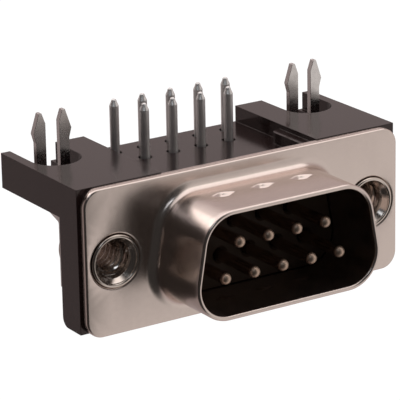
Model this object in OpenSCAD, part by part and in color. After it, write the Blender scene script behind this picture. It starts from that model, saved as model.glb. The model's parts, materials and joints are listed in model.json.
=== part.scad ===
// Nine-way D-shaped plug with right-angle tails for a circuit board. All sizes are in millimetres.
// X runs along the flange, +Y to the rear and +Z to the circuit board; the mating side faces -Y.
// The origin is midway between the two screw holes, on the front face of the shell's flange.

/* [Front shell] */
// Distance from each screw's axis to the end of both flanges
flange_end = 2.78; // [2.5:0.01:3.2]
// Height of both flanges
flange_h = 12.45; // [12.2:0.05:14]
// Corner radius of both flanges
flange_corner_r = 1.45; // [0.8:0.05:2]
// Thickness of the drawn sheet
sheet_t = 0.4; // [0.3:0.02:0.5]
// Radius rolled on the flange's front edge
edge_r = 0.15; // [0.05:0.01:0.25]
// Inside width of the shroud across its wide side
shroud_w = 16.92; // [16.4:0.02:17.6]
// Inside height of the shroud
shroud_h = 8.36; // [8.1:0.02:8.8]
// Slope of the shroud's two ends
end_slope = 10; // [4:0.5:14]
// Inside corner radius of the shroud
shroud_corner_r = 2.6; // [1.6:0.1:3.2]
// Reach of the shroud in front of the flange
shroud_reach = 6.4; // [5.6:0.1:8]

/* [Grounding dimples] */
// Dimples along each long side
dimple_count = 3; // [1:1:3]
// Distance between dimples
dimple_pitch = 3.8; // [3:0.1:4.4]
// Distance of the dimples from the flange
dimple_reach = 2.5; // [1.8:0.1:3.6]
// Length of a dimple
dimple_len = 2.3; // [1.6:0.1:2.8]
// Width of a dimple
dimple_w = 1.1; // [0.8:0.1:1.6]
// Depth of a dimple
dimple_depth = 0.3; // [0.15:0.01:0.36]

/* [Rear shell] */
// Thickness of the flat rear shell
plate_t = 0.38; // [0.3:0.02:0.5]

/* [Insulators] */
// Distance from each screw's axis to the end of the insulators' flanges
ins_end = 2.695; // [2.4:0.005:2.9]
// Height of the insulators' flange
ins_h = 11; // [10.8:0.05:11.3]
// Corner radius of the insulators' flange
ins_corner_r = 1.5; // [0.8:0.1:2.5]
// Thickness of each insulator's flange
ins_flange_t = 0.65; // [0.55:0.05:0.9]
// Height of the front insulator's face above the flange
nose_reach = 0.25; // [0:0.05:0.6]
// Width of the rear insulator's body
rear_body_w = 15.4; // [14.6:0.1:16.4]
// Height of the rear insulator's body
rear_body_h = 6.4; // [5.6:0.1:6.5]
// Depth of the rear insulator's body behind its flange
rear_body_len = 2.9; // [2:0.1:4]

/* [Contacts] */
// Distance between neighbours in a row
pin_pitch = 2.77; // [2.6:0.01:2.8]
// Distance between the two rows
row_gap = 2.84; // [2.6:0.02:3]
// Radius of the mating pins
pin_r = 0.5; // [0.4:0.02:0.56]
// Reach of the mating pins in front of the flange
pin_reach = 5.7; // [4.6:0.1:5.9]
// Radius of the trapped collar
collar_r = 0.8; // [0.65:0.05:1]
// Thickness of the trapped collar
collar_t = 0.6; // [0.4:0.05:0.8]
// Radius of the tails
tail_r = 0.4; // [0.3:0.02:0.46]
// Distance of the front row of tails behind the flange
tail_y = 8.78; // [7.8:0.02:9]
// Distance between the two rows of tails
tail_row_gap = 2.54; // [2.4:0.02:3]
// Height of the tail tips above the board seat
tail_reach = 3.3; // [2.4:0.1:4.5]
// Length of the pointed end of a tail
tail_point = 0.6; // [0.3:0.05:0.9]
// Radius of the bend, at the middle of the wire
bend_r = 1; // [0.6:0.05:1.2]

/* [Housing] */
// How far each side of the housing stands past the flange
housing_over = 0.225; // [0.05:0.025:0.6]
// Height of the board seat above the row of screws
seat_z = 6.3; // [6.2:0.05:7.2]
// Distance of the housing's rear face behind the flange
housing_back = 12.95; // [12.6:0.1:15]
// Thickness of the two posts behind the shells
post_t = 2.8; // [2.2:0.1:3.6]
// Gap between the two posts, behind the insulators' flange
post_gap = 17.2; // [16.8:0.1:18.4]
// Height of the posts' lower ends above the flange's lower edge
post_lift = 0.3; // [0.1:0.05:0.8]
// Radius on the posts' lower rear edge
post_foot_r = 0.8; // [0.3:0.05:1.2]
// Thickness of the two arms
arm_t = 3; // [2.8:0.1:3.4]
// Width of each arm's top
arm_w = 7.9; // [7.2:0.1:8.4]
// Depth of the tray between the arms, below the board seat
tray_drop = 1.4; // [1:0.1:1.6]
// Width of the shoulder at the front of each arm
shoulder_w = 1; // [0.6:0.1:1.4]
// Depth of the shoulder below the board seat
shoulder_drop = 0.42; // [0.2:0.02:0.5]
// Distance of the shoulder's rear end behind the flange
shoulder_back = 6.2; // [5:0.1:7]
// Radius of the tray's corners at the shoulders
tray_corner_r = 0.8; // [0.4:0.1:1.2]
// Width of the notch for a boardlock
notch_w = 4.3; // [3.8:0.1:4.6]
// Distance of the notch's front end behind the flange
notch_front = 7.05; // [6.6:0.05:7.4]
// Depth of the notch's wide part below the board seat
notch_drop = 1.5; // [1:0.1:2]
// Width of the notch's narrow lower part
slot_w = 3.32; // [3.24:0.02:3.6]
// Clearance round a tail in the tray
tail_hole_gap = 0.18; // [0.08:0.01:0.25]

/* [Threaded inserts] */
// Distance between the two screws
screw_spacing = 24.99; // [24.8:0.01:25.4]
// Radius of the thread's grooves, which is the bore's wall
thread_r = 1.42; // [1.2:0.01:1.5]
// Radius of the barrel
barrel_r = 1.95; // [1.85:0.01:2]
// Radius of the flared front lip
flare_r = 2.22; // [2.15:0.01:2.3]
// Width of the groove between the lip and the front shell
groove_w = 0.25; // [0.1:0.01:0.35]
// Height of the lip above the flange
flare_rise = 0.16; // [0.05:0.01:0.3]
// Depth of the funnel into the thread
funnel_depth = 0.8; // [0.5:0.05:1.2]
// Radius of the rear head
head_r = 2.4; // [2.2:0.05:2.45]
// Thickness of the rear head
head_t = 1; // [0.6:0.1:2]

/* [Boardlocks] */
// Thickness of the sheet
lock_t = 0.5; // [0.4:0.02:0.6]
// Inside radius of the two folds
fold_r = 0.3; // [0.2:0.05:0.35]
// Width of the plate round the insert
lock_plate_w = 5.6; // [5.2:0.1:5.7]
// Reach of the plate below the insert's axis
lock_plate_drop = 2.75; // [2.5:0.05:3.5]
// Distance of the fork's front face behind the flange
fork_y = 9.5; // [9.2:0.05:10.2]
// Width of one leg
leg_w = 0.9; // [0.75:0.01:0.95]
// Gap between the two legs
leg_gap = 1.3; // [1.1:0.02:1.34]
// Height of the legs above the board seat
leg_reach = 3.85; // [3.6:0.05:4.6]
// Height of the barbs above the board seat
barb_reach = 2.2; // [1.8:0.1:2.6]
// Width that a barb stands out from its leg
barb_w = 0.22; // [0.1:0.02:0.5]
// Height of the slope under a barb
barb_under = 0.8; // [0.4:0.1:1.2]
// Width of a leg's tip
tip_w = 0.25; // [0.1:0.05:0.5]
// Height of the gap's lower end above the arm's underside
fork_root = 1.2; // [0.8:0.1:2.5]

/* [Clearances] */
// Gap round a part that is pushed into a hole
push_gap = 0.05; // [0.02:0.01:0.08]
// Gap round a part that slides into a pocket
slide_gap = 0.08; // [0.04:0.01:0.15]

/* [Hidden] */
$fn = 48;

shell_color = [0.76, 0.72, 0.67];
plastic_color = [0.2, 0.18, 0.18];
contact_color = [0.83, 0.74, 0.56];
tin_color = [0.8, 0.79, 0.77];

// Depths behind the flange's front face
rear_shell_y = sheet_t;
housing_y = sheet_t + plate_t;
ins_split_y = sheet_t + ins_flange_t;
pocket_y = sheet_t + 2 * ins_flange_t;
post_y = housing_y + post_t;

// Places across and above the row of screws
flange_w = screw_spacing + 2 * flange_end;
ins_w = screw_spacing - 2 * ins_end;
housing_w = flange_w + 2 * housing_over;
arm_x = housing_w / 2 - arm_w;
arm_z = seat_z - arm_t;
screw_x = screw_spacing / 2;
fork_w = 2 * leg_w + leg_gap;
fork_root_z = arm_z + fork_root;
leg_top_z = seat_z + leg_reach;

// Offset of an outline's sides from its corner circles, so that they cross and don't only touch
side_inset = 0.0005;

// Radius that a dimple's width and depth give its spindle
dimple_r = (dimple_depth * dimple_depth + dimple_w * dimple_w / 4) / (2 * dimple_depth);

// Outlines as the centres of their corner circles, anticlockwise
function rect_corners(w, h, r) =
    [for (s = [[1, -1], [1, 1], [-1, 1], [-1, -1]]) [s.x * (w / 2 - r), s.y * (h / 2 - r)]];
flange_corners = rect_corners(flange_w, flange_h, flange_corner_r);
ins_corners = rect_corners(ins_w, ins_h, ins_corner_r);

// A D outline: its wide side is at -Y, and w is measured across the two lower corner circles
function d_corners(w, h, r) =
    let (low = w / 2 - r, rise = h / 2 - r, high = low - 2 * rise * tan(end_slope))
    [[low, -rise], [high, rise], [-high, rise], [-low, -rise]];
shroud_corners = d_corners(shroud_w, shroud_h, shroud_corner_r);

// Turns a drawing's plane upright: its X stays, its Y becomes +Z, and its +Z faces the mating side
module upright() rotate([90, 0, 0]) children();

// Places a piece drawn in the upright frame so that its front is y behind the flange's front face
module behind(y) upright() translate([0, 0, -y]) children();

// The area inside an outline of corner circles of radius r; its sides run just inside the circles
module round_area(corners, r) {
    n = len(corners);
    side_r = r - side_inset;
    polygon([for (i = [0 : n - 1])
        let (a = corners[i], b = corners[(i + 1) % n], along = (b - a) / norm(b - a))
        each [a + side_r * [along.y, -along.x], b + side_r * [along.y, -along.x]]]);
    for (c = corners) translate(c) circle(r);
}

// Sweeps a profile round an outline of corner circles: straight along the sides, turned at the corners.
// The profile's x points outward from the outline and its y points along +Z.
module sweep_round(corners, r) {
    n = len(corners);
    for (i = [0 : n - 1]) {
        a = corners[i];
        b = corners[(i + 1) % n];
        c = corners[(i + 2) % n];
        heading = atan2(b.y - a.y, b.x - a.x);
        turn = (atan2(c.y - b.y, c.x - b.x) - heading + 360) % 360;
        translate(b) rotate(heading - 90) {
            rotate([90, 0, 0]) linear_extrude(norm(b - a)) translate([r, 0]) children();
            rotate_extrude(angle = turn) translate([r, 0]) children();
        }
    }
}

// ---- Shells ----

// Outer border of a flange: a strip whose front outer corner is rolled
module flange_border(w, t) {
    translate([-w, -t]) square([w - edge_r, t]);
    translate([-w, -t]) square([w, t - edge_r]);
    translate([-edge_r, -edge_r]) circle(edge_r);
}

// A spindle along X, two cones base to base, whose axis lies above the surface that it dents
module dimple_spindle(grow) {
    half_len = dimple_len / 2 * (dimple_r + grow) / dimple_depth;
    translate([0, 0, dimple_r - dimple_depth]) for (s = [0, 1]) mirror([s, 0, 0]) rotate([0, 90, 0])
        cylinder(h = half_len, r1 = dimple_r + grow, r2 = 0);
}

// The bump that a dimple raises on the sheet's inner face
module dimple_bump() intersection() {
    dimple_spindle(sheet_t);
    translate([0, 0, -1.5 * sheet_t - dimple_depth])
        linear_extrude(sheet_t + dimple_depth) square(2 * dimple_len, center = true);
}

// Puts its children at each dimple: z = 0 is the outside surface there, and +Z points out of the shroud
module at_dimples() {
    for (side = [0, 1], i = [0 : dimple_count - 1])
        mirror([0, side, 0])
            translate([(i - (dimple_count - 1) / 2) * dimple_pitch, shroud_h / 2 + sheet_t, dimple_reach])
                rotate([-90, 0, 0]) children();
}

// Hole for an insert: straight through the sheet's rear face, and a cone for the flared lip in front
module insert_countersink() {
    hole_r = barrel_r + push_gap;
    groove_r = flare_r + groove_w;
    rotate_extrude() polygon([
        [0, -2 * sheet_t], [hole_r, -2 * sheet_t], [hole_r, -sheet_t],
        [groove_r, 0], [groove_r, sheet_t], [0, sheet_t]
    ]);
}

module front_shell() color(shell_color) upright() {
    border = flange_corner_r / 2;
    difference() {
        union() {
            translate([0, 0, -sheet_t]) linear_extrude(sheet_t) round_area(flange_corners, flange_corner_r - border);
            sweep_round(flange_corners, flange_corner_r) flange_border(border, sheet_t);
            translate([0, 0, -sheet_t / 2]) linear_extrude(shroud_reach + sheet_t / 2)
                round_area(shroud_corners, shroud_corner_r + sheet_t);
        }
        difference() {
            translate([0, 0, -2 * sheet_t]) linear_extrude(2 * shroud_reach)
                round_area(shroud_corners, shroud_corner_r);
            at_dimples() dimple_bump();
        }
        at_dimples() dimple_spindle(0);
        for (s = [-1, 1]) translate([s * screw_x, 0, 0]) insert_countersink();
    }
}

module rear_shell() color(shell_color) behind(rear_shell_y + plate_t) linear_extrude(plate_t) difference() {
    round_area(flange_corners, flange_corner_r);
    round_area(ins_corners, ins_corner_r + slide_gap);
    for (s = [-1, 1]) translate([s * screw_x, 0]) circle(barrel_r + push_gap);
}

// ---- Insulators ----

// Calls its children at each contact, in the upright frame
module at_contacts() for (n = [1 : 9]) translate([contact_x(n), contact_z(n), 0]) children();

module front_insulator() color(plastic_color) upright() difference() {
    union() {
        translate([0, 0, -ins_split_y]) linear_extrude(ins_flange_t) round_area(ins_corners, ins_corner_r);
        translate([0, 0, -ins_split_y]) linear_extrude(ins_split_y + nose_reach)
            round_area(shroud_corners, shroud_corner_r - slide_gap);
    }
    at_contacts() {
        through = ins_split_y + nose_reach;
        translate([0, 0, -2 * through]) cylinder(h = 4 * through, r = pin_r + push_gap);
        translate([0, 0, nose_reach - pin_r / 2]) cylinder(h = pin_r, r1 = pin_r, r2 = 2 * pin_r);
        translate([0, 0, -ins_split_y - collar_t / 2]) cylinder(h = collar_t, r = collar_r + push_gap);
    }
}

module rear_insulator() color(plastic_color) upright() {
    body_back = pocket_y + rear_body_len;
    difference() {
        union() {
            translate([0, 0, -pocket_y]) linear_extrude(ins_flange_t) round_area(ins_corners, ins_corner_r);
            translate([0, 0, -body_back]) linear_extrude(body_back - ins_split_y)
                round_area(d_corners(rear_body_w, rear_body_h, ins_corner_r), ins_corner_r);
        }
        at_contacts() {
            translate([0, 0, -2 * body_back]) cylinder(h = 2 * body_back, r = tail_r + push_gap);
            translate([0, 0, -ins_split_y - collar_t / 2]) cylinder(h = collar_t, r = collar_r + push_gap);
            translate([0, 0, -body_back - tail_r / 2]) cylinder(h = 2 * tail_r, r1 = 2.5 * tail_r, r2 = tail_r);
        }
    }
}

// ---- Contacts ----

// Contacts 1 to 5 make the long row, from right to left, and 6 to 9 the short row
function in_long_row(n) = n <= 5;
function contact_x(n) = pin_pitch * (in_long_row(n) ? 3 - n : 7.5 - n);
function contact_z(n) = row_gap * (in_long_row(n) ? -0.5 : 0.5);
function contact_tail_y(n) = tail_y + (in_long_row(n) ? tail_row_gap : 0);

// A turned pin with a trapped collar, whose wire tail is bent up towards the board
module contact(n) color(contact_color) translate([contact_x(n), 0, contact_z(n)]) {
    bend_y = contact_tail_y(n) - bend_r;
    tip_z = seat_z + tail_reach - contact_z(n);
    behind(-pin_reach + pin_r) sphere(pin_r);
    behind(ins_split_y) cylinder(h = ins_split_y + pin_reach - pin_r, r = pin_r);
    behind(ins_split_y + collar_t / 2) cylinder(h = collar_t, r = collar_r);
    behind(bend_y) cylinder(h = bend_y - ins_split_y, r = tail_r);
    translate([0, bend_y, bend_r]) rotate([0, 90, 0]) rotate_extrude(angle = 90)
        translate([bend_r, 0]) circle(tail_r);
    translate([0, bend_y + bend_r, bend_r]) {
        cylinder(h = tip_z - bend_r - tail_point, r = tail_r);
        translate([0, 0, tip_z - bend_r - tail_point]) tail_tip();
    }
}

// The pointed end of a tail: a cone that runs into a ball
module tail_tip() {
    ball_r = 0.6 * tail_r;
    cylinder(h = tail_point - ball_r, r1 = tail_r, r2 = ball_r);
    translate([0, 0, tail_point - ball_r]) sphere(ball_r);
}

// ---- Housing ----

// Turns a side view upright and extrudes it along +X: its X becomes +Y and its Y becomes +Z
module side_extrude(w) rotate([90, 0, 90]) linear_extrude(w) children();

// The shoulder beside the tray, seen from above, with a rounded rear corner
module shoulder_area() {
    corner = min(tray_corner_r, 0.9 * shoulder_w);
    len = shoulder_back - housing_y;
    translate([arm_x - shoulder_w, housing_y]) {
        square([shoulder_w, len - corner]);
        translate([corner, 0]) square([shoulder_w - corner, len]);
        translate([corner, len - corner]) circle(corner);
    }
}

// The post behind one end of the shells, seen from the side, with a rounded foot
module post_area() {
    base_z = post_lift - flange_h / 2;
    translate([housing_y, base_z]) {
        square([post_t - post_foot_r, seat_z - base_z]);
        translate([0, post_foot_r]) square([post_t, seat_z - base_z - post_foot_r]);
        translate([post_t - post_foot_r, post_foot_r]) circle(post_foot_r);
    }
}

// The right-hand arm, its shoulder and its post
module housing_side() {
    translate([arm_x, housing_y, arm_z]) cube([arm_w, housing_back - housing_y, arm_t]);
    translate([0, 0, arm_z]) linear_extrude(arm_t - shoulder_drop) shoulder_area();
    translate([post_gap / 2, 0, 0]) side_extrude((housing_w - post_gap) / 2) post_area();
}

// Plan of a notch of width w, open to the rear, with a round front end
module notch_area(w) translate([screw_x, notch_front + notch_w / 2]) {
    circle(w / 2);
    translate([-w / 2, 0]) square([w, housing_back]);
}

// Room for the insulators' flange: it slides in from below
module insulator_pocket() upright() translate([0, 0, -pocket_y]) linear_extrude(pocket_y) {
    w = ins_w + 2 * slide_gap;
    round_area(ins_corners, ins_corner_r + slide_gap);
    translate([-w / 2, -flange_h]) square([w, flange_h]);
}

// Holes that hold the tails in line, each with a lead-in from below
module tail_holes() {
    hole_r = tail_r + tail_hole_gap;
    for (n = [1 : 9]) translate([contact_x(n), contact_tail_y(n), arm_z]) {
        translate([0, 0, -arm_t]) cylinder(h = 3 * arm_t, r = hole_r);
        translate([0, 0, -tail_r]) cylinder(h = 2 * tail_r, r1 = hole_r + 2 * tail_r, r2 = hole_r);
    }
}

module housing() color(plastic_color) difference() {
    union() {
        for (s = [0, 1]) mirror([s, 0, 0]) housing_side();
        translate([-arm_x, pocket_y, arm_z]) cube([2 * arm_x, housing_back - pocket_y, arm_t - tray_drop]);
    }
    insulator_pocket();
    tail_holes();
    for (s = [0, 1]) mirror([s, 0, 0]) {
        translate([screw_x, 0, 0]) behind(2 * post_y) cylinder(h = 2 * post_y, r = barrel_r + push_gap);
        translate([0, 0, seat_z - notch_drop]) linear_extrude(2 * notch_drop) notch_area(notch_w);
        translate([0, 0, arm_z - arm_t]) linear_extrude(2 * arm_t) notch_area(slot_w);
    }
}

// ---- Threaded inserts ----

// A rivet nut: a rear head, a barrel through the whole stack, and a lip flared into the front shell
module threaded_insert() color(tin_color) translate([screw_x, 0, 0]) upright() {
    head_z = -post_y - lock_t;
    back_z = head_z - head_t;
    lip_r = (flare_r - thread_r) / 5;
    lip_z = flare_rise - lip_r;
    chamfer = head_t / 8;
    rotate_extrude() {
        polygon([
            [thread_r, back_z + chamfer], [thread_r + chamfer, back_z], [head_r - chamfer, back_z],
            [head_r, back_z + chamfer], [head_r, head_z], [barrel_r, head_z], [barrel_r, -sheet_t],
            [flare_r, lip_z], [flare_r - 2 * lip_r, lip_z], [thread_r + lip_r, -funnel_depth / 2],
            [thread_r, -funnel_depth]
        ]);
        translate([flare_r - lip_r, lip_z]) circle(lip_r);
    }
}

// ---- Boardlocks ----

// A quarter ring of sheet between the angles a and a + 90, about the fold's centre
module fold_area(a) rotate(a) intersection() {
    difference() {
        circle(fold_r + lock_t);
        circle(fold_r);
    }
    square(fold_r + lock_t);
}

// The strip from the side: a plate behind the post, a run under the arm, and an upright fork
module boardlock_side() {
    fold = fold_r + lock_t;
    translate([post_y, -lock_plate_drop]) square([lock_t, arm_z - fold + lock_plate_drop]);
    translate([post_y + fold, arm_z - fold]) fold_area(90);
    translate([post_y + fold, arm_z - lock_t]) square([fork_y - fold_r - post_y - fold, lock_t]);
    translate([fork_y - fold_r, arm_z + fold_r]) fold_area(270);
    translate([fork_y, arm_z + fold_r]) square([lock_t, leg_top_z - arm_z - fold_r]);
}

// The plate and the tapered run, from above
module boardlock_plan() {
    wide = lock_plate_w / 2;
    narrow = fork_w / 2;
    taper_y = post_y + lock_t + fold_r;
    polygon([
        [-wide, 0], [wide, 0], [wide, taper_y], [narrow, fork_y - fold_r], [narrow, 2 * fork_y],
        [-narrow, 2 * fork_y], [-narrow, fork_y - fold_r], [-wide, taper_y]
    ]);
}

// One leg of the fork from the front: a barb on its outside, and a narrow tip
module leg_area() {
    mid = (leg_gap + leg_w) / 2;
    outer = fork_w / 2;
    barb_z = seat_z + barb_reach;
    polygon([
        [0, arm_z], [outer, arm_z], [outer, barb_z - barb_under], [outer + barb_w, barb_z],
        [mid + tip_w / 2, leg_top_z], [mid - tip_w / 2, leg_top_z], [leg_gap / 2, leg_top_z - leg_w],
        [leg_gap / 2, fork_root_z], [0, fork_root_z]
    ]);
}

module boardlock() color(tin_color) translate([screw_x, 0, 0]) difference() {
    intersection() {
        translate([-lock_plate_w / 2, 0, 0]) side_extrude(lock_plate_w) boardlock_side();
        union() {
            translate([0, 0, -2 * lock_plate_drop])
                linear_extrude(2 * lock_plate_drop + arm_z + fold_r) boardlock_plan();
            for (s = [0, 1]) mirror([s, 0, 0]) translate([0, fork_y + 2 * lock_t, 0])
                rotate([90, 0, 0]) linear_extrude(3 * lock_t) leg_area();
        }
    }
    behind(2 * fork_y) cylinder(h = 2 * fork_y - post_y / 2, r = barrel_r + push_gap);
}

// ---- Assembly ----

front_shell();
rear_shell();
front_insulator();
rear_insulator();
housing();
contact(1);  // contact_1
contact(2);  // contact_2
contact(3);  // contact_3
contact(4);  // contact_4
contact(5);  // contact_5
contact(6);  // contact_6
contact(7);  // contact_7
contact(8);  // contact_8
contact(9);  // contact_9
mirror([1, 0, 0]) threaded_insert();  // threaded_insert_left
threaded_insert();  // threaded_insert_right
mirror([1, 0, 0]) boardlock();  // boardlock_left
boardlock();  // boardlock_right
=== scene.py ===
"""Looks of a nine-way D-shaped plug with right-angle tails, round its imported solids, in metres."""

import json
import math

import bmesh
import bpy
from mathutils import Matrix, Vector
from mathutils.geometry import delaunay_2d_cdt


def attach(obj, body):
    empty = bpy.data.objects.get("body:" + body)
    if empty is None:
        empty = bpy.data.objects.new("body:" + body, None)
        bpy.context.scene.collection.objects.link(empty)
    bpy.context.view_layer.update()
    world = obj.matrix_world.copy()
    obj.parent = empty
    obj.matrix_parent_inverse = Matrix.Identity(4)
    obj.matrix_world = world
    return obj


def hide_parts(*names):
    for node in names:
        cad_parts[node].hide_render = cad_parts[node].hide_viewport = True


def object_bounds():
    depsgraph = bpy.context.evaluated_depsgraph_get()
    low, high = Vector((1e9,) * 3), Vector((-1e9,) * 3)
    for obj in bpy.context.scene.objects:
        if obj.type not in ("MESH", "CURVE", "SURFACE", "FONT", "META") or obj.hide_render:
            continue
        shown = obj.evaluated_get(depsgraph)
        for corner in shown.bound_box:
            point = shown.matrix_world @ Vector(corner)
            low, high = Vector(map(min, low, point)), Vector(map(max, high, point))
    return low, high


MM = 0.001

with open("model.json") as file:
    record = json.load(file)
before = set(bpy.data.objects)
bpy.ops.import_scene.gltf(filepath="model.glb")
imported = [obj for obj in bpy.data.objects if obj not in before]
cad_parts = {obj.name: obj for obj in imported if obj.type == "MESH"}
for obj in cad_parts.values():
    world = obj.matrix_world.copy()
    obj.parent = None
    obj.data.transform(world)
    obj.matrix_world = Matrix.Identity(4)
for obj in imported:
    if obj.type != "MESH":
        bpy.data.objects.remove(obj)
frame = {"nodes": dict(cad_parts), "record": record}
cad_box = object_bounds()


# ---- Camera ----

# The view of the photograph: lengths in metres, lens and sensor in millimetres
CAMERA_AZIMUTH = math.radians(32.548)
CAMERA_ELEVATION = math.radians(18.389)
CAMERA_ROLL = math.radians(-1.103)
CAMERA_TARGET = Vector((-4.455, 0, 3.554)) * MM
CAMERA_DISTANCE = 221.65 * MM
CAMERA_NEAR, CAMERA_FAR = 0.005, 5
CAMERA_LENS = 247.2
CAMERA_SENSOR = 36


def add_camera():
    """The view from the front left, slightly above."""
    ca, sa = math.cos(CAMERA_AZIMUTH), math.sin(CAMERA_AZIMUTH)
    ce, se = math.cos(CAMERA_ELEVATION), math.sin(CAMERA_ELEVATION)
    back = Vector((-sa * ce, -ca * ce, se))
    level_right = Vector((ca, -sa, 0))
    level_up = Vector((sa * se, ca * se, ce))
    right = math.cos(CAMERA_ROLL) * level_right + math.sin(CAMERA_ROLL) * level_up
    up = -math.sin(CAMERA_ROLL) * level_right + math.cos(CAMERA_ROLL) * level_up
    data = bpy.data.cameras.new("camera")
    data.lens = CAMERA_LENS
    data.sensor_width = CAMERA_SENSOR
    data.clip_start = CAMERA_NEAR
    data.clip_end = CAMERA_FAR
    camera = bpy.data.objects.new("camera", data)
    turn = Matrix((right, up, back)).transposed().to_4x4()
    camera.matrix_world = Matrix.Translation(CAMERA_TARGET + back * CAMERA_DISTANCE) @ turn
    bpy.context.scene.collection.objects.link(camera)
    bpy.context.scene.camera = camera


# ---- Shader nodes ----

# Noise hardly leaves these values
NOISE_LOW, NOISE_HIGH = 0.3, 0.7


def new_material(name):
    """A Principled material with its node tree and its shader."""
    material = bpy.data.materials.new(name)
    material.use_nodes = True
    tree = material.node_tree
    return material, tree, tree.nodes["Principled BSDF"]


def add_node(tree, kind, inputs=None, **settings):
    """A node with some settings and some input values; a value that is a socket gets linked."""
    node = tree.nodes.new(kind)
    for key, value in settings.items():
        setattr(node, key, value)
    for key, value in (inputs or {}).items():
        if isinstance(value, bpy.types.NodeSocket):
            tree.links.new(value, node.inputs[key])
        else:
            node.inputs[key].default_value = value
    return node


def math_node(tree, operation, *values):
    """A sum, product or the like of values or sockets."""
    return add_node(tree, "ShaderNodeMath", dict(enumerate(values)), operation=operation).outputs[0]


def object_place(tree):
    """The place in object space."""
    return add_node(tree, "ShaderNodeTexCoord").outputs["Object"]


def noise(tree, scale, detail):
    """Noise in object space; its scale is in cycles per metre."""
    inputs = {"Vector": object_place(tree), "Scale": scale, "Detail": detail}
    return add_node(tree, "ShaderNodeTexNoise", inputs).outputs["Fac"]


def rescale(tree, value, start, end, low, high, kind="LINEAR"):
    """A change from low to high as a value goes from start to end."""
    inputs = {"Value": value, "From Min": start, "From Max": end, "To Min": low, "To Max": high}
    return add_node(tree, "ShaderNodeMapRange", inputs, interpolation_type=kind).outputs[0]


def ramp(tree, value, start, end, low, high):
    """A smooth change from low to high as a value goes from start to end."""
    return rescale(tree, value, start, end, low, high, "SMOOTHSTEP")


def spread(tree, factor, low, high):
    """Noise spread over low to high."""
    return rescale(tree, factor, NOISE_LOW, NOISE_HIGH, low, high)


def along(tree, place, direction):
    """The part of a place or direction that lies along a direction."""
    inputs = {0: place, 1: Vector(direction).normalized()}
    return add_node(tree, "ShaderNodeVectorMath", inputs, operation="DOT_PRODUCT").outputs["Value"]


def opaque(color):
    """A colour of three numbers with full alpha."""
    return (*color, 1)


def mix_colors(tree, factor, a, b):
    """Colour a at factor 0 and b at factor 1."""
    inputs = {"Factor": factor, "A": a, "B": b}
    return add_node(tree, "ShaderNodeMix", inputs, data_type="RGBA").outputs["Result"]


# ---- Materials ----

BEVEL_SAMPLES = 8

# Pairs of scale, in cycles per metre, and detail of the noises
METAL_CLOUD, METAL_FINE, METAL_WAVES = (260, 4), (2600, 3), (900, 2)
METAL_RIPPLE, METAL_EDGE = 0.0015 * MM, 0.05 * MM

RESIN_CLOUD, RESIN_FINE = (200, 3), (5200, 4)
RESIN_RIPPLE, RESIN_EDGE = 0.003 * MM, 0.07 * MM
RESIN_IOR = 1.55
RESIN_TINT = (1, 0.84, 0.82)

# The contacts: their plating changes just behind the flange's front face, and their tips are matt
WIRE_CLOUD, WIRE_FINE = (700, 2), (1800, 3)
GOLD_DULL, GOLD = (0.47, 0.34, 0.26), (0.6, 0.46, 0.37)
TAIL_DULL, TAIL = (0.72, 0.69, 0.68), (0.9, 0.87, 0.85)
PLATING_CHANGE = (0, 0.6 * MM)
TIP_CHANGE = (-5.4 * MM, -5.1 * MM)
TIP_ROUGH, PIN_ROUGH, TAIL_ROUGH = 0.42, 0.18, 0.34
WIRE_GRAIN = 0.06
PIN_METALLIC, TAIL_METALLIC = 1, 0.7


def soft_edges(tree, shader, height, ripple, edge_radius):
    """Bumps from a height factor, on edges that look rounded."""
    rounded = add_node(tree, "ShaderNodeBevel", {"Radius": edge_radius}, samples=BEVEL_SAMPLES)
    inputs = {"Height": height, "Distance": ripple, "Strength": 1.0, "Normal": rounded.outputs[0]}
    bump = add_node(tree, "ShaderNodeBump", inputs)
    tree.links.new(bump.outputs[0], shader.inputs["Normal"])


def metal(name, base, dull, rough):
    """Plated metal with cloudy tone and roughness, and a faint ripple."""
    material, tree, shader = new_material(name)
    shader.inputs["Metallic"].default_value = 1
    tone = mix_colors(tree, noise(tree, *METAL_CLOUD), opaque(dull), opaque(base))
    tree.links.new(tone, shader.inputs["Base Color"])
    tree.links.new(spread(tree, noise(tree, *METAL_FINE), *rough), shader.inputs["Roughness"])
    soft_edges(tree, shader, noise(tree, *METAL_WAVES), METAL_RIPPLE, METAL_EDGE)
    return material


def plastic(name, base, light, rough, gloss):
    """Dark moulded resin with a fine grain."""
    material, tree, shader = new_material(name)
    shader.inputs["IOR"].default_value = RESIN_IOR
    shader.inputs["Specular IOR Level"].default_value = gloss
    shader.inputs["Specular Tint"].default_value = opaque(RESIN_TINT)
    cloud = noise(tree, *RESIN_CLOUD)
    tree.links.new(mix_colors(tree, cloud, opaque(base), opaque(light)), shader.inputs["Base Color"])
    tree.links.new(spread(tree, cloud, *rough), shader.inputs["Roughness"])
    soft_edges(tree, shader, noise(tree, *RESIN_FINE), RESIN_RIPPLE, RESIN_EDGE)
    return material


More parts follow.
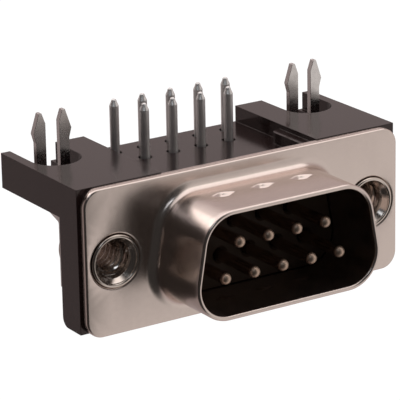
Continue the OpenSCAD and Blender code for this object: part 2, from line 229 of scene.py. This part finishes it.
def contact_metal(name):
    """Wire that is gold-plated in front of the flange and tin-plated behind it."""
    material, tree, shader = new_material(name)
    y = add_node(tree, "ShaderNodeSeparateXYZ", {"Vector": object_place(tree)}).outputs["Y"]
    cloud = noise(tree, *WIRE_CLOUD)
    gold = mix_colors(tree, cloud, opaque(GOLD_DULL), opaque(GOLD))
    tin = mix_colors(tree, cloud, opaque(TAIL_DULL), opaque(TAIL))
    behind = rescale(tree, y, *PLATING_CHANGE, 0, 1)
    tree.links.new(mix_colors(tree, behind, gold, tin), shader.inputs["Base Color"])
    tip = ramp(tree, y, *TIP_CHANGE, TIP_ROUGH, PIN_ROUGH)
    tail = ramp(tree, y, *PLATING_CHANGE, PIN_ROUGH, TAIL_ROUGH)
    grain = spread(tree, noise(tree, *WIRE_FINE), 0, WIRE_GRAIN)
    rough = math_node(tree, "ADD", math_node(tree, "MAXIMUM", tip, tail), grain)
    tree.links.new(rough, shader.inputs["Roughness"])
    metallic = ramp(tree, y, *PLATING_CHANGE, PIN_METALLIC, TAIL_METALLIC)
    tree.links.new(metallic, shader.inputs["Metallic"])
    return material


# ---- Studio ----

FLOOR_SIZE, FLOOR_DROP = 4, 0.02 * MM
FLOOR_COLOR, FLOOR_ROUGH = (0.82, 0.8, 0.79), 0.9
# To the camera the floor glows with this strength, and this share of what it sees is glow
FLOOR_GLOW, FLOOR_GLOW_SHARE = 1.08, 0.93

# Name, place, aim and size in millimetres, power in watts, colour
LAMPS = (
    ("top", (10, 50, 175), (0, 5, 0), (340, 260), 0.25, (1, 1, 1)),
    ("back", (-50, 110, 75), (0, 0, 0), (66, 56), 0.0125, (1, 0.95, 0.9)),
    ("window", (-69, -84, 99), (0, 0, 0), (24, 60), 0.0095, (0.8, 0.9, 1)),
)

# Colours of the room at the rear, in front and as the camera sees it, and where they change on the way
# from the rear to the front
ROOM_BACK, ROOM_FRONT, ROOM_SEEN = (0.52, 0.44, 0.43), (0.77, 0.743, 0.72), (1, 0.965, 0.935)
ROOM_CHANGE = (-0.2, 0.5)
# A dark patch's direction, where along it the patch begins and is darkest, and the share of light left there
ROOM_PATCHES = (((-0.78, -0.62, 0.1), 0.07, 0.4, 0.05), ((-0.51, 0.8, -0.3), 0.3, 0.95, 0.62))


def add_floor():
    """A plain pale floor under the lowest edge, white to the camera; metal sees the room in its place."""
    low = cad_box[0][2]
    bpy.ops.mesh.primitive_plane_add(size=FLOOR_SIZE, location=(0, 0, low - FLOOR_DROP))
    floor = bpy.context.object
    floor.name = "floor"
    floor.visible_glossy = False
    material, tree, shader = new_material("floor_white")
    shader.inputs["Base Color"].default_value = opaque(FLOOR_COLOR)
    shader.inputs["Roughness"].default_value = FLOOR_ROUGH
    matt = shader.outputs[0]
    glow = add_node(tree, "ShaderNodeEmission", {"Color": (1, 1, 1, 1), "Strength": FLOOR_GLOW}).outputs[0]
    white = add_node(tree, "ShaderNodeMixShader", {0: FLOOR_GLOW_SHARE, 1: matt, 2: glow}).outputs[0]
    camera_ray = add_node(tree, "ShaderNodeLightPath").outputs["Is Camera Ray"]
    surface = add_node(tree, "ShaderNodeMixShader", {0: camera_ray, 1: matt, 2: white}).outputs[0]
    tree.links.new(surface, tree.nodes["Material Output"].inputs["Surface"])
    floor.data.materials.append(material)


def add_light(name, place, aim, size, power, color):
    """A soft rectangular lamp at a place, aimed at a point, both in millimetres."""
    data = bpy.data.lights.new(name, "AREA")
    data.shape = "RECTANGLE"
    data.size, data.size_y = size[0] * MM, size[1] * MM
    data.energy = power
    data.color = color
    lamp = bpy.data.objects.new(name, data)
    lamp.location = Vector(place) * MM
    lamp.rotation_euler = (Vector(aim) - Vector(place)).to_track_quat("-Z", "Y").to_euler()
    bpy.context.scene.collection.objects.link(lamp)


def add_world():
    """A pale room, dark at the left front and dim at the left rear; the camera sees it nearly white."""
    world = bpy.data.worlds.new("studio")
    bpy.context.scene.world = world
    world.use_nodes = True
    tree = world.node_tree
    background = tree.nodes["Background"]
    place = add_node(tree, "ShaderNodeTexCoord").outputs["Generated"]
    frontness = ramp(tree, along(tree, place, (0, -1, 0)), *ROOM_CHANGE, 0, 1)
    walls = mix_colors(tree, frontness, opaque(ROOM_BACK), opaque(ROOM_FRONT))
    patches = [
        ramp(tree, along(tree, place, side), start, end, 1, left) for side, start, end, left in ROOM_PATCHES
    ]
    lit = math_node(tree, "MULTIPLY", *patches)
    camera_ray = add_node(tree, "ShaderNodeLightPath").outputs["Is Camera Ray"]
    strength = add_node(tree, "ShaderNodeMix", {"Factor": camera_ray, "A": lit, "B": 1.0}).outputs[0]
    color = mix_colors(tree, camera_ray, walls, opaque(ROOM_SEEN))
    tree.links.new(color, background.inputs["Color"])
    tree.links.new(strength, background.inputs["Strength"])


# ---- Outlines ----


def box_corners(width, height, radius):
    """Centres of the corner circles of a rounded rectangle, anticlockwise from the lower right."""
    x, z = width / 2 - radius, height / 2 - radius
    return [(x, -z), (x, z), (-x, z), (-x, -z)]


def spokes(corners, arc_steps, line_step):
    """Foot points and outward normals round an outline; a point at radius r is foot + r * normal."""
    out = []
    count = len(corners)
    for i in range(count):
        a, b, c = (Vector(corners[(i + k) % count]) for k in range(3))
        ahead = (b - a).normalized()
        turn = (c - b).normalized()
        start = math.atan2(-ahead.x, ahead.y)
        sweep = (math.atan2(-turn.x, turn.y) - start) % (2 * math.pi)
        steps = max(1, round((b - a).length / line_step))
        normal = Vector((ahead.y, -ahead.x))
        out += [(a + (b - a) * (k / steps), normal) for k in range(steps)]
        for k in range(arc_steps):
            angle = start + sweep * k / arc_steps
            out.append((b, Vector((math.cos(angle), math.sin(angle)))))
    return out


def arc(center, radius, start, end, steps):
    """Points (r, y) of an arc, angles in degrees."""
    angles = [math.radians(start + (end - start) * k / steps) for k in range(steps + 1)]
    return [(center[0] + radius * math.cos(t), center[1] + radius * math.sin(t)) for t in angles]


def line(a, b, steps):
    """Points after a, up to and including b."""
    return [tuple(a[k] + (b[k] - a[k]) * i / steps for k in range(2)) for i in range(1, steps + 1)]


def loft(mesh, rings, closed=True):
    """Quads between rings of equal length, lists of points in millimetres; returns the rings' vertices."""
    verts = [[mesh.verts.new(Vector(p) * MM) for p in ring] for ring in rings]
    for low, high in zip(verts, verts[1:]):
        count = len(low)
        for i in range(count if closed else count - 1):
            j = (i + 1) % count
            mesh.faces.new((low[i], low[j], high[j], high[i]))
    return verts


def fill_between(mesh, outer, holes, facing):
    """Flat triangles inside a ring of vertices, apart from its convex holes, all at one depth."""
    loops = [outer, *holes]
    verts = [v for loop in loops for v in loop]
    owner = [number for number, loop in enumerate(loops) for _ in loop]
    edges, start = [], 0
    for loop in loops:
        edges += [(start + k, start + (k + 1) % len(loop)) for k in range(len(loop))]
        start += len(loop)
    flat = [Vector((v.co.x, v.co.z)) / MM for v in verts]
    inside_outline, same_point = 1, 1e-6
    _, _, faces, origin, _, _ = delaunay_2d_cdt(flat, edges, [], inside_outline, same_point)
    for face in faces:
        corners = [origin[k][0] for k in face]
        owners = {owner[k] for k in corners}
        if len(owners) == 1 and owners != {0}:
            continue
        made = mesh.faces.new([verts[k] for k in corners])
        made.normal_update()
        if made.normal.y * facing < 0:
            made.normal_flip()


def finish_piece(mesh, name, material, node, smooth_angle):
    """Turns a bmesh into a smooth object that rides on the part, and replaces a CAD node if one is named."""
    bmesh.ops.recalc_face_normals(mesh, faces=mesh.faces)
    data = bpy.data.meshes.new(name)
    mesh.to_mesh(data)
    mesh.free()
    data.shade_smooth()
    data.set_sharp_from_angle(angle=math.radians(smooth_angle))
    data.materials.append(material)
    piece = bpy.data.objects.new(name, data)
    bpy.context.scene.collection.objects.link(piece)
    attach(piece, "root")
    if node:
        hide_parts(node)


# ---- Front shell ----

# Sizes of the drawn shell, in millimetres, as in the part's source; the flange and the shroud are each given
# by width, height and corner radius
FLANGE = (30.55, 12.45, 1.45)
SHROUD = (16.92, 8.36, 2.6)
END_SLOPE = math.radians(10)
SHEET = 0.4
REACH = 6.4
SCREW_X = 12.495
DIMPLE_X = (-3.8, 0, 3.8)
DIMPLE_Y = -2.5
DIMPLE_LENGTH, DIMPLE_WIDTH, DIMPLE_DEPTH = 2.3, 1.1, 0.3

# Roundings, in millimetres: the shroud's root and rim, the flange's front edge, the chamfer on its rear edge,
# and the ridge where a dimple's two halves meet
ROOT = 0.9
RIM = SHEET / 2 * 0.98
EDGE = 0.15
CHAMFER = 0.05
DIMPLE_RIDGE = 0.12
# Share of a dimple's depth that shows inside the shroud
INNER_BUMP = 0.5

# Radius and depth of the edge round a screw's hole
HOLE_EDGE = ((2.47, 0), (2.37, 0.02), (2.29, 0.07), (2.24, 0.14), (2.0, SHEET))

# The shroud's wall has finer steps in a band round the dimples
BAND_FRONT, BAND_BACK = DIMPLE_Y - 0.7, DIMPLE_Y + 0.7
BAND_STEPS, LEAD_STEPS, WALL_STEPS = 18, 8, 6
ROOT_STEPS, ROUND_STEPS = 10, 5
SHROUD_ARC_STEPS, SHROUD_LINE_STEP = 16, 0.11
FLANGE_ARC_STEPS, FLANGE_LINE_STEP = 12, 1.0
HOLE_STEPS = 64
# Normals on the shroud's long sides point up or down by at least this much
LONG_SIDE = 0.999
SHELL_SMOOTH_ANGLE = 32


def shroud_corners():
    """Centres of the corner circles of the D outline."""
    width, height, radius = SHROUD
    low, rise = width / 2 - radius, height / 2 - radius
    high = low - 2 * rise * math.tan(END_SLOPE)
    return [(low, -rise), (high, rise), (-high, rise), (-low, -rise)]


def dent(x, y):
    """Depth of the dimples' lens-shaped dents at a place on the shroud's long sides."""
    radius = (DIMPLE_DEPTH**2 + DIMPLE_WIDTH**2 / 4) / (2 * DIMPLE_DEPTH)
    half = DIMPLE_LENGTH / 2 * radius / DIMPLE_DEPTH
    depth = 0
    for center in DIMPLE_X:
        aside = math.hypot(x - center, DIMPLE_RIDGE) - DIMPLE_RIDGE
        inside = (radius * max(0, 1 - aside / half)) ** 2 - (y - DIMPLE_Y) ** 2
        if inside > 0:
            depth = max(depth, math.sqrt(inside) - radius + DIMPLE_DEPTH)
    share = depth / DIMPLE_DEPTH
    return DIMPLE_DEPTH * share**2 * (3 - 2 * share)


def shroud_profile(inner, outer):
    """Radius and depth along the shroud's wall: from the flange over root and rim, and back inside."""
    tip = -REACH + RIM
    profile = arc((outer + ROOT, -ROOT), ROOT, 90, 180, ROOT_STEPS)
    profile += line(profile[-1], (outer, BAND_BACK), LEAD_STEPS)
    profile += line((outer, BAND_BACK), (outer, BAND_FRONT), BAND_STEPS)
    profile += line(profile[-1], (outer, tip), WALL_STEPS)
    profile += arc((outer - RIM, tip), RIM, 0, -90, ROUND_STEPS)[1:]
    profile += arc((inner + RIM, tip), RIM, -90, -180, ROUND_STEPS)
    profile += line(profile[-1], (inner, BAND_FRONT), WALL_STEPS)
    profile += line((inner, BAND_FRONT), (inner, BAND_BACK), BAND_STEPS)
    profile += line(profile[-1], (inner, SHEET), WALL_STEPS)
    return profile


def shroud_rings():
    """Rings of the shroud's wall, with its dimples."""
    inner, outer = SHROUD[2], SHROUD[2] + SHEET
    around = spokes(shroud_corners(), SHROUD_ARC_STEPS, SHROUD_LINE_STEP)
    rings = []
    for radius, y in shroud_profile(inner, outer):
        ring = []
        for foot, normal in around:
            r = radius
            if abs(normal.y) > LONG_SIDE and y < -ROOT:
                r -= dent(foot.x, y) * (1 if r > inner + SHEET / 2 else INNER_BUMP)
            place = foot + normal * r
            ring.append((place.x, y, place.y))
        rings.append(ring)
    return rings


def flange_ring(radius, y):
    """A ring of the flange's outline, for a corner radius and a depth."""
    around = spokes(box_corners(*FLANGE), FLANGE_ARC_STEPS, FLANGE_LINE_STEP)
    places = [foot + normal * radius for foot, normal in around]
    return [(place.x, y, place.y) for place in places]


def circle_ring(x, radius, y):
    """A circle about a screw's axis."""
    angles = [2 * math.pi * k / HOLE_STEPS for k in range(HOLE_STEPS)]
    return [(x + radius * math.cos(t), y, radius * math.sin(t)) for t in angles]


def build_front_shell(material):
    """The drawn shell: a flange with a rounded edge and two screw holes, and the dimpled shroud."""
    mesh = bmesh.new()
    wall = loft(mesh, shroud_rings())
    corner = FLANGE[2]
    edge = [flange_ring(corner + r, y) for r, y in arc((-EDGE, EDGE), EDGE, -90, 0, ROUND_STEPS)]
    edge.append(flange_ring(corner, SHEET - CHAMFER))
    edge.append(flange_ring(corner - CHAMFER, SHEET))
    border = loft(mesh, edge)
    holes = []
    for side in (-1, 1):
        rings = [circle_ring(side * SCREW_X, radius, y) for radius, y in HOLE_EDGE]
        holes.append(loft(mesh, rings))
    fill_between(mesh, border[0], [wall[0], *(h[0] for h in holes)], -1)
    fill_between(mesh, border[-1], [wall[-1], *(h[-1] for h in holes)], 1)
    finish_piece(mesh, "drawn_shell", material, "front_shell", SHELL_SMOOTH_ANGLE)


# ---- Threads ----

# Sizes of the ridge in an insert's bore, in millimetres
THREAD_MAJOR, THREAD_MINOR, THREAD_PITCH = 1.415, 1.13, 0.635
THREAD_FRONT, THREAD_BACK = 0.72, 4.95
THREAD_LEAD = 0.2
CREST_DROP = 0.02
THREAD_SECTION = (
    (THREAD_MAJOR, -0.3),
    (THREAD_MINOR + CREST_DROP, -0.06),
    (THREAD_MINOR, 0),
    (THREAD_MINOR + CREST_DROP, 0.06),
    (THREAD_MAJOR, 0.3),
)

# Turns left out, turns over which the ridge rises at each end, and the share of its height at the very end
TURNS_OFF, FADE_TURNS, FADE_LEAST = 0.6, 0.3, 0.02
TURN_STEPS = 48
THREAD_SMOOTH_ANGLE = 50


def build_thread(side, material):
    """The right-handed ridge inside one insert."""
    mesh = bmesh.new()
    turns = (THREAD_BACK - THREAD_FRONT) / THREAD_PITCH - TURNS_OFF
    count = round(turns * TURN_STEPS)
    fade_steps = FADE_TURNS * TURN_STEPS
    rings = []
    for k in range(count + 1):
        angle = -2 * math.pi * k / TURN_STEPS
        y = THREAD_FRONT + THREAD_LEAD + THREAD_PITCH * k / TURN_STEPS
        fade = max(min(1, k / fade_steps, (count - k) / fade_steps), FADE_LEAST)
        ring = []
        for radius, dy in THREAD_SECTION:
            r = THREAD_MAJOR - (THREAD_MAJOR - radius) * fade
            ring.append((side * SCREW_X + r * math.cos(angle), y + dy, r * math.sin(angle)))
        rings.append(ring)
    loft(mesh, rings, closed=False)
    name = "thread_left" if side < 0 else "thread_right"
    finish_piece(mesh, name, material, None, THREAD_SMOOTH_ANGLE)


# ---- Scene ----

bpy.context.scene.view_settings.view_transform = "Standard"
add_camera()
add_floor()
add_world()
for lamp_settings in LAMPS:
    add_light(*lamp_settings)

nickel = metal("nickel", base=(0.69, 0.588, 0.54), dull=(0.65, 0.55, 0.505), rough=(0.22, 0.27))
tin = metal("tin", base=(0.78, 0.74, 0.72), dull=(0.62, 0.58, 0.57), rough=(0.22, 0.3))
steel = metal("insert_steel", base=(0.66, 0.575, 0.52), dull=(0.54, 0.47, 0.42), rough=(0.14, 0.2))
resin = plastic(
    "black_resin",
    base=(0.0135, 0.0066, 0.0062),
    light=(0.018, 0.0092, 0.0088),
    rough=(0.12, 0.18),
    gloss=0.46,
)
dark_resin = plastic(
    "insulator_resin",
    base=(0.028, 0.019, 0.012),
    light=(0.034, 0.023, 0.015),
    rough=(0.5, 0.6),
    gloss=0.2,
)
wire = contact_metal("plated_wire")

LOOKS = {"shell": nickel, "tin": tin, "plastic": resin, "contact": wire}
for entry in frame["record"]["subparts"]:
    node = frame["nodes"][entry["node"]]
    look = LOOKS[entry["material_slot"]]
    if entry["node"].endswith("_insulator"):
        look = dark_resin
    elif entry["node"].startswith("threaded_insert"):
        look = steel
    for material_slot in node.material_slots:
        material_slot.material = look

build_front_shell(nickel)
for side in (-1, 1):
    build_thread(side, steel)
